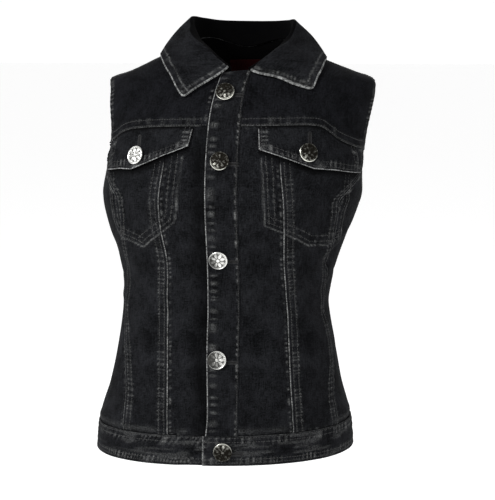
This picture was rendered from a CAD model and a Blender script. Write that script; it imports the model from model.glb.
# A sleeveless vest in black washed denim, hollow, in the form it has when worn.
# Metres, +Z up, the front faces -Y, the wearer's left is +X. Tables are in millimetres, as in the part.

import math
from functools import partial

import bmesh
import bpy
import numpy as np
from mathutils import Matrix, Vector
from mathutils.bvhtree import BVHTree


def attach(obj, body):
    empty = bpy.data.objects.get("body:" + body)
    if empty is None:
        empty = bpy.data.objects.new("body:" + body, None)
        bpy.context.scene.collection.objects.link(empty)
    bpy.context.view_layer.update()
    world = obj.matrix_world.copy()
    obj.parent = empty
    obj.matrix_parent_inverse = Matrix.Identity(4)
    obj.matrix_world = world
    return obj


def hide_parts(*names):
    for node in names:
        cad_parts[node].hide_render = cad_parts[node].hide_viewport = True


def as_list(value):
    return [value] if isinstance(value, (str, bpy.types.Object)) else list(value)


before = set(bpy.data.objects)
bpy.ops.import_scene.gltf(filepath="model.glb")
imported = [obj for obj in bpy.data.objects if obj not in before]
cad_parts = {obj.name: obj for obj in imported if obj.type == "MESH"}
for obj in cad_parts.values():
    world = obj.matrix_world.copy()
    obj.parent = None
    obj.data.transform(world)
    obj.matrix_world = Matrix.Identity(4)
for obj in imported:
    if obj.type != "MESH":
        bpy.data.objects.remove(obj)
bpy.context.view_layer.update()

MM = 0.001

# Camera: the photograph's angle, 7 degrees towards the wearer's left and a little from above
AZIMUTH = math.radians(7)
DISTANCE = 2.0
ASIDE = 0.019
eye_right = Vector((math.cos(AZIMUTH), math.sin(AZIMUTH), 0)) * ASIDE
eye = Vector((DISTANCE * math.sin(AZIMUTH), -DISTANCE * math.cos(AZIMUTH), 0.080)) + eye_right
aim = Vector((0, 0, -0.196)) + eye_right
camera_data = bpy.data.cameras.new("camera")
camera_data.lens = 120
camera_data.sensor_width = 36
camera = bpy.data.objects.new("camera", camera_data)
camera.location = eye
camera.rotation_euler = (aim - eye).to_track_quat("-Z", "Y").to_euler()
bpy.context.scene.collection.objects.link(camera)
bpy.context.scene.camera = camera

# Cloth, as in the part
CLOTH = 1.6
DOUBLED = 1.8
BAND = 2.6
COLLAR = 2.0
INSIDE = 1.0
GAP = 0.3
ROUNDNESS = 2.25
BAND_TOP = -399
BAND_BOTTOM = -434
HEM_TILT = 0.025
BACK_YOKE_SEAM = -66
YOKE_FRONT = -41
HEM_TURNING = 10
BUST = {"rise": 5, "x": 76, "z": -106, "width": 40, "height": 46}
FOLD_RADIUS = 112
FINE = 240  # steps of a seam line before it is divided


def table(columns, rows):
    values = np.array(rows, float)
    return {name: values[:, k] for k, name in enumerate(columns.split())}


BODY = table("z half front back centre", [
    (70, 58, 46, 56, 12), (48, 68, 48, 60, 11), (35, 96, 53, 68, 10), (20, 131, 61, 76, 12.5),
    (11, 155, 67, 80, 12), (0, 159, 74, 85, 12), (-20, 159.5, 85, 92, 10), (-60, 154, 102, 100, 8),
    (-100, 153.5, 115, 101, 3.5), (-130, 154, 118, 99, 0.5), (-165, 144, 113, 94, -2.5),
    (-200, 132, 104, 85, -3.5), (-235, 125, 96, 77, -5), (-262, 124.5, 93, 75, -6.5),
    (-300, 130, 96, 81, -6), (-350, 139, 105, 94, -7), (-395, 152, 112, 105, -8),
    (-430, 156, 114, 108, -8), (-445, 156.5, 114, 108, -8),
])
FRONT_EDGE = table("z fold stitched standSeam standEnd", [
    (24, -1, 33, -2.2, 30), (10, -6, 28.5, -7.2, 25.5), (-5, -10, 25.5, -11.2, 22.5),
    (-30, -14, 24, -15.2, 21), (-80, -16, 23, -17.2, 20), (-200, -15, 23, -16.2, 20),
    (-300, -17, 22, -18.2, 19), (-380, -15, 22, -16.2, 19), (-410, -18, 22, -19.2, 19),
])
INNER_SEAM = table("z right left", [
    (-30, -64, 69), (-80, -64, 69), (-125, -69, 73), (-160, -67, 73), (-195, -62, 72),
    (-250, -64, 74), (-320, -63, 78), (-410, -61, 85),
])
OUTER_SEAM = table("z right left", [
    (-85, -58, 66), (-120, -53, 58), (-150, -52.5, 61), (-195, -61, 69), (-235, -66, 74),
    (-275, -66.5, 79), (-320, -57, 79), (-355, -49.5, 71.5), (-400, -44, 66), (-410, -43.5, 65.5),
])
BACK_SEAM = table("z right left", [(-60, -78, 94), (-250, -66, 58), (-410, -62, 46)])
YOKE_SEAM = table("x z", [
    (-142, -65), (-129, -57), (-117, -49), (-100, -45), (-60, -42), (0, -41), (70, -40),
    (104, -40), (116, -43), (132, -56), (150, -66), (162, -71),
])
ARMHOLE = {
    "right": {"side": -1, "y": -1, "z": -57, "depth": 37, "rise": 68, "yoke": 96, "panel": 117},
    "left": {"side": 1, "y": 18, "z": -57, "depth": 37, "rise": 68, "yoke": 101, "panel": 117},
}
ARMHOLE_ROUNDNESS = 2.2
SHOULDER_SEAM_TURN = 20
BACK_YOKE_TURN = 263
NECK = {"x": 12, "half": 64, "front": 61, "back": 60, "shoulder": 80}
COLLAR_SECTIONS = table("turn rollX rollY rollZ edgeX edgeY", [
    (-4, 5, -64, 28, -45, -77), (-18, -8, -56, 37, -54, -69), (-36, -22, -43, 48, -64, -57),
    (-55, -35, -27, 58, -73, -42), (-76, -45, -6, 71, -80, -22), (-98, -50, 15, 83, -82, 4),
    (-122, -40, 38, 82, -71, 38), (-150, -20, 56, 79, -36, 64), (-180, 12, 63, 78, 12, 72),
    (-210, 44, 57, 78, 62, 63), (-238, 64, 39, 79, 96, 39), (-262, 74, 15, 79, 110, 8),
    (-284, 73, -7, 66, 113, -13), (-305, 64, -24, 53, 112, -30), (-324, 51, -40, 40, 110, -46),
    (-337, 40, -54.5, 32.3, 106, -57), (-345, 31, -66, 25.6, 102, -65),
])
COLLAR_LIE = 4.4
COLLAR_FOLD = 3.2
FLAP = {
    "right": {"top": (-31.5, -131), "lower": [(-36, -64), (-64, -75), (-84, -84), (-103, -92),
                                            (-119, -92.5), (-138, -96)]},
    "left": {"top": (43, 149), "lower": [(45, -67), (67, -74), (86, -81), (105, -88.5),
                                         (127, -91), (153, -97)]},
}
FLAP_EDGE = {side: np.array(sorted(flap["lower"]), float).T for side, flap in FLAP.items()}
BAG = {
    "right": {"inner": [(-42, -46), (-45, -95), (-51, -150)], "outer": [(-119, -54), (-118, -100), (-124, -168)],
              "lower": [(-51, -150), (-72, -166), (-92, -182), (-107, -175), (-124, -168)]},
    "left": {"inner": [(46, -45), (50, -95), (52, -152)], "outer": [(124, -56), (128, -110), (126, -172)],
             "lower": [(52, -152), (76, -165), (98, -180), (112, -176), (126, -172)]},
}
# Outline of the stitching that holds a pocket bag, seen on the front
POCKET_LINE = {
    "right": [(-42, -50), (-43, -78), (-46, -109), (-48, -134), (-51, -149), (-63, -159), (-80, -172),
              (-92, -182), (-104, -177), (-124, -171), (-132, -150), (-136, -120), (-138, -90)],
    "left": [(46, -50), (48, -82), (50, -96), (51, -121), (52, -139), (52, -152), (70, -160), (88, -170),
             (99, -178), (121, -179), (132, -174), (139, -141), (144, -128), (147, -92)],
}
FRONT_BUTTONS = [(3.2, -4), (1.2, -80.3), (-1.2, -191.4), (-4, -312)]
BAND_BUTTON = (4.2, -417)
FLAP_BUTTONS = {"right": (-96.5, -76.5), "left": (98.3, -71)}
LABEL = {"left": 35, "right": -11, "top": 33, "bottom": 13}

# Soft folds: angle round the body and height of the middle, length, width, depth (minus is a
# trough) and slope of the length. The first ones are the part's own, the rest are finer creases,
# which the plain solids leave out and which are deepened here.
PART_FOLDS = 10
DEEPENED = 1.5
FOLDS = np.array([
    (69, -196, 80, 18, -3.2, 38), (76, -168, 75, 20, 2.2, 35), (-64, -205, 75, 20, -2.4, -35),
    (-61, -258, 85, 22, 1.8, -20), (77, -262, 75, 20, -2.2, 16), (20, -246, 95, 24, -1.6, 10),
    (-18, -262, 95, 24, -1.6, -8), (150, -245, 110, 26, -2.6, 8), (-148, -262, 110, 26, -2.6, -8),
    (180, -232, 120, 24, 2.0, 0),
    (65, -198, 28, 7, -1.9, -36), (70, -208, 20, 6, -1.8, 62), (58, -184, 64, 10, 0.7, -50),
    (38, -192, 110, 20, -0.8, 62), (-34, -186, 110, 20, -0.8, -62), (-50, -232, 72, 11, -0.8, -18),
    (-70, -248, 60, 10, 0.7, -8), (60, -238, 66, 11, -0.8, 12), (46, -288, 84, 15, 0.7, -72),
    (-40, -302, 92, 17, 0.7, 76), (26, -371, 76, 12, 0.7, 4), (-28, -374, 66, 12, 0.6, -4),
    (72, -364, 62, 12, -0.7, 10), (-66, -368, 62, 12, -0.7, -10), (86, -222, 54, 9, -0.8, 24),
    (-84, -216, 54, 9, -0.8, -22), (12, -128, 60, 13, -0.5, 66), (-16, -118, 60, 13, -0.5, -66),
    (170, -206, 92, 15, -1.0, 12), (-164, -198, 100, 17, -1.0, -15), (150, -276, 104, 17, 1.0, -10),
    (-138, -286, 92, 15, 0.9, 12), (177, -302, 124, 19, -1.0, 3), (121, -240, 84, 13, -0.9, 30),
    (-122, -236, 84, 13, -0.9, -30), (160, -124, 104, 19, -0.7, 68), (-156, -118, 104, 19, -0.7, -72),
    (102, -332, 92, 15, 0.8, 78), (-100, -324, 92, 15, 0.8, -82), (172, -22, 110, 17, -0.7, 6),
    (-140, -34, 80, 15, -0.7, -40), (138, -38, 80, 15, -0.7, 38), (-52, -12, 70, 14, -0.6, -56),
    (52, -14, 70, 14, -0.6, 58), (-34, -66, 60, 10, 0.4, -28), (36, -60, 60, 10, 0.4, 26),
])
FOLDS[PART_FOLDS:, 4] *= DEEPENED


def curve_weights(t):
    """Weights of a point, its slope, the next point and its slope, part of the way between them."""
    return (1 + 2 * t) * (1 - t) ** 2, t * (1 - t) ** 2, t * t * (3 - 2 * t), t * t * (t - 1)


def read(rows, key, at, column):
    """Smooth reading of a column between the rows of a table."""
    x, y = rows[key], rows[column]
    if x[0] > x[-1]:
        x, y = x[::-1], y[::-1]
    at = np.clip(at, x[0], x[-1])
    k = np.clip(np.searchsorted(x, at, side="right") - 1, 0, len(x) - 2)
    row = np.arange(len(x))
    low, high = np.maximum(row - 1, 0), np.minimum(row + 1, len(x) - 1)
    slope = (y[high] - y[low]) / (x[high] - x[low])
    step = x[k + 1] - x[k]
    a, b, c, d = curve_weights((at - x[k]) / step)
    return a * y[k] + b * step * slope[k] + c * y[k + 1] + d * step * slope[k + 1]


def smooth(low, high, x):
    t = np.clip((x - low) / (high - low), 0, 1)
    return t * t * (3 - 2 * t)


def mix(a, b, t):
    return a + (b - a) * t


def lengths(points, axis=0):
    """Distance along a line of points, from its start."""
    steps = np.linalg.norm(np.diff(points, axis=axis), axis=-1)
    shape = list(steps.shape)
    shape[axis] = 1
    return np.concatenate([np.zeros(shape), np.cumsum(steps, axis=axis)], axis=axis)


def unit(v):
    return v / np.maximum(np.linalg.norm(v, axis=-1, keepdims=True), 1e-9)


CELLS = 64
LATTICE = np.random.default_rng(11).random((CELLS, CELLS))


def cloud(x, y):
    """Smooth random values from 0 to 1, about one lump in each unit."""
    x, y = np.broadcast_arrays(np.asarray(x, float), np.asarray(y, float))
    i, j = np.floor(x).astype(int), np.floor(y).astype(int)
    s, t = smooth(0, 1, x - i), smooth(0, 1, y - j)
    near, far = (mix(LATTICE[i % CELLS, row % CELLS], LATTICE[(i + 1) % CELLS, row % CELLS], s) for row in (j, j + 1))
    return mix(near, far, t)


def bell(x, middle, width):
    """1 at the middle, falling to nothing about two widths away."""
    return np.exp(-((x - middle) / width) ** 2)


# The body


def section(z):
    """Half width, depth in front and behind, and middle of the body at a height."""
    return [read(BODY, "z", z, name) for name in ("half", "front", "back", "centre")]


def depth_at(s, x, y, z):
    across = (np.abs(x - s[3]) - BUST["x"]) / BUST["width"]
    up = (z - BUST["z"]) / BUST["height"]
    return np.where(np.asarray(y) < 0, s[1] + BUST["rise"] * np.exp(-across ** 2 - up ** 2), s[2])


def outside(p):
    """Less than 0 inside the body, 0 on it and more outside."""
    x, y, z = p[..., 0], p[..., 1], p[..., 2]
    s = section(z)
    across = np.abs(x - s[3]) / s[0]
    return across ** ROUNDNESS + (np.abs(y) / depth_at(s, x, y, z)) ** ROUNDNESS - 1


def slope_of(p):
    step = 0.05
    parts = []
    for axis in range(3):
        shift = np.zeros(3)
        shift[axis] = step
        parts.append((outside(p + shift) - outside(p - shift)) / (2 * step))
    return np.stack(parts, -1)


def normal_at(p):
    return unit(slope_of(p))


def settle(p):
    """Moves points straight onto the body."""
    q = p.copy()
    for _ in range(10):
        g = slope_of(q)
        size = np.linalg.norm(g, axis=-1)
        push = np.clip(outside(q) / np.maximum(size, 1e-9), -12, 12)
        q -= unit(g) * push[..., None]
    return q


def on_face(x, z, face):
    """Points of the body from sideways place and height, in front (-1) or behind (1)."""
    x, z = np.broadcast_arrays(np.asarray(x, float), np.asarray(z, float))
    s = section(z)
    across = np.minimum(np.abs(x - s[3]) / s[0], 1)
    y = face * depth_at(s, x, face, z) * (1 - across ** ROUNDNESS) ** (1 / ROUNDNESS)
    return np.stack([x, y, z], -1)


def on_angle(angle, z):
    """Points of the body from the angle, 0 in front and 90 at the wearer's left, and height."""
    angle, z = np.broadcast_arrays(np.asarray(angle, float), np.asarray(z, float))
    s = section(z)
    sin, cos = np.sin(np.radians(angle)), np.cos(np.radians(angle))
    power = 2 / ROUNDNESS
    x = s[3] + s[0] * np.sign(sin) * np.abs(sin) ** power
    y = np.where(cos > 0, -depth_at(s, x, -1, z), s[2]) * np.abs(cos) ** power
    return np.stack([x, y, z], -1)


def angle_of(p):
    x, y, z = p[..., 0], p[..., 1], p[..., 2]
    s = section(z)
    power = ROUNDNESS / 2
    sin = np.sign(x - s[3]) * (np.abs(x - s[3]) / s[0]) ** power
    cos = np.where(y > 0, -1, 1) * (np.abs(y) / depth_at(s, x, y, z)) ** power
    return np.degrees(np.arctan2(sin, cos))


def on_top(x, y):
    """Points of the body from a place seen from above."""
    x, y = np.broadcast_arrays(np.asarray(x, float), np.asarray(y, float))
    low, high = np.full(x.shape, -20.0), np.full(x.shape, 69.0)
    for _ in range(34):
        z = (low + high) / 2
        inside = outside(np.stack([x, y, z], -1)) < 0
        low, high = np.where(inside, z, low), np.where(inside, high, z)
    return np.stack([x, y, low], -1)


def armhole(side, turn):
    """Points of an armhole's edge, from the turn in degrees: 0 on top and 90 in front."""
    hole = ARMHOLE[side]
    t = np.radians(np.asarray(turn, float))
    power = 2 / ARMHOLE_ROUNDNESS
    y = hole["y"] - hole["depth"] * np.sign(np.sin(t)) * np.abs(np.sin(t)) ** power
    z = hole["z"] + hole["rise"] * np.sign(np.cos(t)) * np.abs(np.cos(t)) ** power
    s = section(z)
    deep = np.abs(y) / depth_at(s, hole["side"] * s[0], y, z)
    x = s[3] + hole["side"] * s[0] * (1 - deep ** ROUNDNESS) ** (1 / ROUNDNESS)
    return np.stack([x, y, z], -1)


def neck(turn):
    """Points of the neck seam, from the turn in degrees: 0 in front and 90 at the wearer's left."""
    t = np.radians(np.asarray(turn, float))
    y = -np.where(np.cos(t) > 0, NECK["front"], NECK["back"]) * np.cos(t)
    return on_top(NECK["x"] + NECK["half"] * np.sin(t), y)


def fold_at(p):
    """Height of the folds and of the cloth's own unevenness, in millimetres."""
    angle, z = angle_of(p), p[..., 2]
    total = np.zeros(z.shape)
    for at, height, length, width, depth, tilt in FOLDS:
        tilt = math.radians(tilt)
        dx = np.radians((angle - at + 180) % 360 - 180) * FOLD_RADIUS
        dz = z - height
        along = (dx * math.cos(tilt) + dz * math.sin(tilt)) / (length / 2)
        over = (-dx * math.sin(tilt) + dz * math.cos(tilt)) / (width / 2)
        total += depth * np.exp(-1.5 * along ** 2 - over ** 2)
    turn = np.radians(angle) * FOLD_RADIUS
    uneven = cloud(turn / 46 + 9, z / 38 + 7) - 0.5 + 0.4 * (cloud(turn / 15 + 3, z / 19) - 0.5)
    return total + 0.7 * uneven


# Seam lines, each a row of FINE + 1 points

STEPS = np.linspace(0, 1, FINE + 1)


def band_top(x):
    return BAND_TOP + HEM_TILT * x


def yoke_height(x):
    return read(YOKE_SEAM, "x", x, "z")


def joined(*lines):
    return np.vstack([line if k == 0 else line[1:] for k, line in enumerate(lines)])


def inner_seam(side):
    def x_at(z):
        return read(INNER_SEAM, "z", z, side)
    z = mix(yoke_height(x_at(YOKE_FRONT)), band_top(x_at(BAND_TOP)), STEPS)
    return on_face(x_at(z), z, -1)


def angled_seam(angle_at, top):
    last = on_angle(angle_at(BAND_TOP), BAND_TOP)[0]
    z = mix(top, band_top(last), STEPS)
    return on_angle(angle_at(z), z)


def outer_seam(side):
    start = armhole(side, ARMHOLE[side]["panel"])
    first = angle_of(start)

    def angle_at(z):
        return mix(first, read(OUTER_SEAM, "z", z, side), smooth(0, 40, start[2] - z))
    return angled_seam(angle_at, start[2])


def side_seam(side):
    start = armhole(side, 180)
    first, last = angle_of(start), ARMHOLE[side]["side"] * 95

    def angle_at(z):
        return mix(first, last, (start[2] - z) / (start[2] - BAND_TOP))
    return angled_seam(angle_at, start[2])


def back_seam(side):
    def x_at(z):
        return read(BACK_SEAM, "z", z, side)
    z = mix(BACK_YOKE_SEAM, band_top(x_at(BAND_TOP)), STEPS)
    return on_face(x_at(z), z, 1)


def band_seam(start, end):
    first, last = angle_of(start), angle_of(end)
    if abs(last - first) > 180:
        last = last + 360 * np.sign(first - last)
    angle = mix(first, last, STEPS)
    line = on_angle(angle, band_top(on_angle(angle, BAND_TOP)[..., 0]))
    line[0], line[-1] = start, end
    return line


def armhole_edge(side, first, last):
    return armhole(side, mix(first, last, STEPS))


def yoke_line(start, end):
    x = mix(start[0], end[0], STEPS)
    line = on_face(x, yoke_height(x), -1)
    line[0], line[-1] = start, end
    return line


def back_yoke_line(start, end):
    line = on_face(mix(start[0], end[0], STEPS), mix(start[2], end[2], STEPS), 1)
    line[0], line[-1] = start, end
    return line


def front_edge(column, top, bottom):
    z = mix(top, bottom, STEPS)
    return on_face(read(FRONT_EDGE, "z", z, column), z, -1)


def lower_front_edge(column):
    return front_edge(column, YOKE_FRONT, band_top(read(FRONT_EDGE, "z", BAND_TOP, column)))


def shoulder_seam(side):
    inner = neck(ARMHOLE[side]["side"] * NECK["shoulder"])
    outer = armhole(side, SHOULDER_SEAM_TURN)
    return settle(mix(inner, outer, STEPS[:, None]))


def neck_corner(column, side):
    """Turn on the neck seam where a front edge meets it."""
    low, high = (-30, 0) if side == "right" else (5, 40)
    for _ in range(24):
        turn = (low + high) / 2
        p = neck(turn)
        if p[0] < read(FRONT_EDGE, "z", p[2], column):
            low = turn
        else:
            high = turn
    return low


def traced(points):
    """A broken line of x and z, laid on the front of the body."""
    points = np.array(points, float)
    return on_face(*spread(points, STEPS).T, -1)


def points_at(at, place, line):
    """Values of a line at some distances, from the distance of each of its points."""
    return np.stack([np.interp(at, place, column) for column in line.T], -1)


def spread(line, parts):
    place = lengths(line)
    return points_at(parts * place[-1], place, line)


def net(left, right, start, end, across, along):
    """Fills a net between four edges and lays it on the body."""
    lines = spread(left, along)[None], spread(right, along)[None]
    ends = spread(start, across)[:, None], spread(end, across)[:, None]
    u, v = across[:, None, None], along[None, :, None]
    p = (1 - v) * ends[0] + v * ends[1] + (1 - u) * lines[0] + u * lines[1]
    p -= (1 - u) * (1 - v) * ends[0][0] + u * (1 - v) * ends[0][-1]
    p -= (1 - u) * v * ends[1][0] + u * v * ends[1][-1]
    return settle(p)


def stations(length, near=(True, True), fine=1.0, coarse=2.6, reach=15):
    """Parts of a length in millimetres, close together near the worked edges."""
    places = [0.0]
    while places[-1] < length:
        at = places[-1]
        edge = min(at if near[0] else length, length - at if near[1] else length)
        places.append(at + (0.5 * fine if edge < 1.6 else fine if edge < reach else coarse))
    return np.array(places) / places[-1]


# What is done to an edge: how high its band is raised and how wide it is, its puckers and how far
# apart they lie, its rows of stitches from the edge, its worn line at the edge, its worn spots beside
# the stitches, how far the edge is rounded, its worn smudges, its bulge beside a band, the wear along
# its rows, and how even the smudges are
USUAL = dict(raised=0.0, band=12.0, pucker=0.2, pitch=7.6, rows=(), line=0.0, spots=0.0, round_off=0.5,
             smudge=0.4, bulge=0.0, seam=0.0, steady=0.15)


def edge_work(**own):
    return {**USUAL, **own}


WORK = {
    "plain": edge_work(pucker=0, band=1, round_off=0.1),
    "over": edge_work(raised=0.6, band=13, pucker=0.26, pitch=4.6, rows=(4.6, 11.2), line=0.55, spots=0.21,
                      smudge=0.12, seam=0.04),
    "under": edge_work(raised=-0.35, band=4, pucker=0.14, round_off=0.1),
    "yoke": edge_work(raised=1.0, band=9.5, pucker=0.22, pitch=8.4, rows=(1.8, 8.6), line=0.32, spots=0.09,
                      smudge=0.13, seam=0.05),
    "back_yoke": edge_work(raised=0.6, band=9.5, pucker=0.22, pitch=8.4, rows=(1.8, 8.6), line=0.4, spots=0.12,
                           smudge=0.2),
    "shoulder": edge_work(raised=0.5, band=8, pucker=0.15, rows=(1.6, 7.4), line=0.25, spots=0.12),
    "hem": edge_work(raised=0.35, band=10, pitch=8.8, rows=(9.0,), line=0.3, spots=0.16),
    "band": edge_work(raised=-0.3, band=2, pucker=0.3, pitch=8.2, bulge=0.8, smudge=0.2),
    "fold": edge_work(band=11.5, pucker=0.36, pitch=11.2, rows=(1.3,), line=0.95, round_off=0.8, smudge=0.32,
                      steady=0.6),
    "stitched": edge_work(raised=-1.7, band=0.5, pucker=0.34, pitch=12.4, rows=(2.2,), spots=0.3, round_off=0.2,
                          smudge=0.2, seam=0.07),
    "flap": edge_work(raised=0.1, band=10, pucker=0.22, pitch=6.4, rows=(3.4, 8.8), line=0.85, spots=0.16,
                      round_off=0.6),
    "flap_top": edge_work(raised=-0.45, band=3, pucker=0.1, round_off=0.2),
    "band_top": edge_work(raised=0.05, pucker=0.34, pitch=7.2, rows=(2.0, 7.0), line=0.10, spots=0.22, smudge=0.22),
    "band_hem": edge_work(raised=0.05, band=9, pucker=0.3, pitch=4.6, rows=(3.4, 7.6), line=0.06, spots=0.26,
                          round_off=0.7),
    "band_end": edge_work(band=5, rows=(2.0,), line=0.6, spots=0.2, round_off=0.6),
    "collar_edge": edge_work(raised=0.15, band=8.8, pucker=0.14, pitch=8.6, rows=(8.2,), line=0.8, spots=0.14,
                             round_off=0.4, smudge=0.1, seam=0.2),
    "collar_end": edge_work(raised=0.15, band=6.4, pucker=0.14, pitch=7.8, rows=(6.0,), line=0.8, spots=0.18,
                            round_off=0.4, smudge=0.1, seam=0.12),
    "inside": edge_work(pucker=0.05, band=6),
}
WORK["opening"] = WORK["plain"]
WORK["on_stand"] = WORK["under"]

# How far an edge reaches under its neighbour and how deep it lies there, in millimetres
ALLOWANCE = {"under": (4.0, 0.95), "band": (4.2, 2.5), "opening": (3.4, 1.7), "on_stand": (3.4, 0.1)}
POCKET_ROWS = (5.6, 12.4)


def puckers(turns):
    """The wave of a seam's puckers, and the ridges on its crests that wear first."""
    crest = 0.5 + 0.5 * np.cos(2 * math.pi * turns)
    return crest, np.clip(1.7 * crest - 0.7, 0, 1) ** 1.5


def worked(kind, d, run, seed):
    """Relief and wear of one edge, from the distance to it and the way along it, in millimetres."""
    work = WORK[kind]
    band = work["band"]
    wander = 2.2 * cloud(run / 31 + seed, seed) + 0.9 * cloud(run / 9, seed + 4)
    crest, ridge = puckers(run / work["pitch"] + wander)
    uneven = smooth(0.25, 0.75, cloud(run / 13 + seed, d / 9 + seed))
    relief = work["raised"] * (1 - smooth(band, band + 3.5, d))
    relief = relief + work["pucker"] * (crest - 0.6) * (0.5 + uneven) * (1 - smooth(band - 2, band + 7, d))
    relief = relief - work["round_off"] * (1 - np.clip(d / 0.9, 0, 1)) ** 2
    relief = relief + work["bulge"] * (bell(d, 6.5, 3.6) - 0.8 * (1 - smooth(0, 3, d)))
    wear = work["line"] * (1 - smooth(0.4, 1.3, d)) * (0.45 + 0.7 * cloud(run / 5 + seed, seed))
    for row in work["rows"]:
        groove = bell(d, row, 0.8)
        relief = relief - 0.18 * groove
        spot = bell(d - row, 0.9, 1.05) * ridge
        wear = np.maximum(wear, work["spots"] * spot * (0.3 + 1.1 * uneven))
        wear = np.maximum(wear, work["seam"] * groove * (0.3 + 0.9 * cloud(run / 7, seed)))
    smudge = bell(d, band * 0.6, band * 0.34) * ridge * mix(1.25 * uneven, 1.0, work["steady"])
    wear = np.maximum(wear, work["smudge"] * 0.55 * smudge * (work["pucker"] > 0.1))
    swollen = 0.08 * work["bulge"] * bell(d, 5, 2.8)
    wear = np.maximum(wear, swollen * smooth(0.35, 0.8, cloud(run / 17, seed)))
    return relief, wear


def nearest_to(points, line):
    """The nearest point of a line to each of many points, and how far it is, a few points at a time."""
    nearest, distance = np.empty(len(points), int), np.empty(len(points))
    batch = 4000
    for k in range(0, len(points), batch):
        gap = np.linalg.norm(points[k:k + batch, None] - line[None], axis=-1)
        nearest[k:k + batch] = gap.argmin(1)
        distance[k:k + batch] = gap.min(1)
    return nearest, distance


def enclosed(x, z, ring):
    """Which points lie inside a closed line, seen from the front."""
    inside = np.zeros(len(x), bool)
    for (x0, z0), (x1, z1) in zip(ring, np.roll(ring, -1, 0)):
        crossing = (z0 > z) != (z1 > z)
        inside ^= crossing & (x < x0 + (z - z0) * (x1 - x0) / (z1 - z0 if z1 != z0 else 1e9))
    return inside


def pocket_work(p, side):
    """Relief and wear of the stitched outline of a pocket bag, on the front panels."""
    line = traced(POCKET_LINE[side])
    flat = p.reshape(-1, 3)
    nearest, distance = nearest_to(flat, line)
    signed = np.where(enclosed(flat[:, 0], flat[:, 2], line[:, [0, 2]]), distance, -distance)
    way = lengths(line)[nearest]
    crest, ridge = puckers(way / 7.4 + 1.6 * cloud(way / 23, 5))
    uneven = cloud(way / 11, signed / 7 + 20)
    raised = 0.4 * smooth(-0.6, 0.8, signed) * (1 - smooth(13, 17, signed))
    relief = raised + 0.24 * (crest - 0.5) * bell(signed, 8, 7)
    wear = 0.22 * bell(signed, 0.4, 0.8) * (0.4 + cloud(way / 9, 2))
    for row in POCKET_ROWS:
        relief -= 0.15 * bell(signed, row, 0.8)
        wear = np.maximum(wear, 0.16 * bell(signed, row, 1.3) * ridge * (0.2 + 1.2 * uneven))
    behind = flat[:, 1] > 0
    relief[behind] = 0
    wear[behind] = 0
    return relief.reshape(p.shape[:-1]), wear.reshape(p.shape[:-1])


def sheltered(p):
    """How much a lap or a flap has kept the cloth of the fronts from wear, so that it stays darker."""
    x, z = p[..., 0], p[..., 2]
    fold = read(FRONT_EDGE, "z", z, "fold")
    patches = 0.55 + 0.9 * cloud(z / 26, x / 14)
    shade = 0.6 * (1 - smooth(4, 25, fold - x)) * (x < fold) * smooth(YOKE_FRONT + 4, YOKE_FRONT - 6, z) * patches
    for edge in FLAP_EDGE.values():
        drop = np.interp(x, *edge) - z
        under = (1 - smooth(1, 9, drop)) * (drop > -3) * (x > edge[0, 0]) * (x < edge[0, -1])
        shade = np.maximum(shade, 0.85 * under)
    return shade * (p[..., 1] < 0)


# Finishes


class Value:
    """A shader socket that takes part in sums."""

    def __init__(self, finish, socket):
        self.finish, self.socket = finish, socket

    def sum(self, operation, *others, clamp=False):
        inputs = dict(enumerate((self, *others)))
        return self.finish.node("ShaderNodeMath", {"operation": operation, "use_clamp": clamp}, inputs)

    def __add__(self, other):
        return self.sum("ADD", other)

    def __sub__(self, other):
        return self.sum("SUBTRACT", other)

    def __mul__(self, other):
        return self.sum("MULTIPLY", other)

    def __rsub__(self, other):
        return self.finish.node("ShaderNodeMath", {"operation": "SUBTRACT"}, {0: other, 1: self})

    __radd__ = __add__
    __rmul__ = __mul__

    def clamped(self):
        return self.sum("ADD", 0.0, clamp=True)

    def sine(self):
        return self.sum("SINE")

    def between(self, low, high):
        return self.finish.node("ShaderNodeMapRange", {"interpolation_type": "SMOOTHSTEP", "clamp": True},
                                {"Value": self, "From Min": low, "From Max": high})


class Finish:
    """A material, with one method that makes all of its nodes."""

    def __init__(self, name, **constants):
        self.material = bpy.data.materials.new(name)
        self.material.use_nodes = True
        self.tree = self.material.node_tree
        self.shader = self.tree.nodes["Principled BSDF"]
        for socket, value in constants.items():
            self.shader.inputs[socket.replace("_", " ")].default_value = value

    def node(self, kind, settings=None, inputs=None, output=0):
        made = self.tree.nodes.new(kind)
        for key, value in (settings or {}).items():
            setattr(made, key, value)
        for key, value in (inputs or {}).items():
            if isinstance(value, Value):
                self.tree.links.new(value.socket, made.inputs[key])
            else:
                made.inputs[key].default_value = value
        return Value(self, made.outputs[output])

    def noise(self, place, size, detail=2.0, roughness=0.5, stretch=(1, 1, 1)):
        """Random lumps of a size in metres, stretched along an axis."""
        scale = tuple(1 / (size * s) for s in stretch)
        moved = self.node("ShaderNodeMapping", {}, {"Vector": place, "Scale": scale})
        return self.node("ShaderNodeTexNoise", {},
                         {"Vector": moved, "Scale": 1.0, "Detail": detail, "Roughness": roughness})

    def blend(self, factor, first, second):
        return self.node("ShaderNodeMix", {"data_type": "RGBA", "clamp_factor": True},
                         {"Factor": factor, "A": self.colour(first), "B": self.colour(second)}, output="Result")

    def colour(self, value):
        return value if isinstance(value, Value) else (*value, 1.0)

    def feed(self, socket, value):
        self.tree.links.new(value.socket, self.shader.inputs[socket])

    def bump(self, height, distance, strength):
        return self.node("ShaderNodeBump", {}, {"Height": height, "Distance": distance, "Strength": strength})


WORN = (0.27, 0.275, 0.27)


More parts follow.
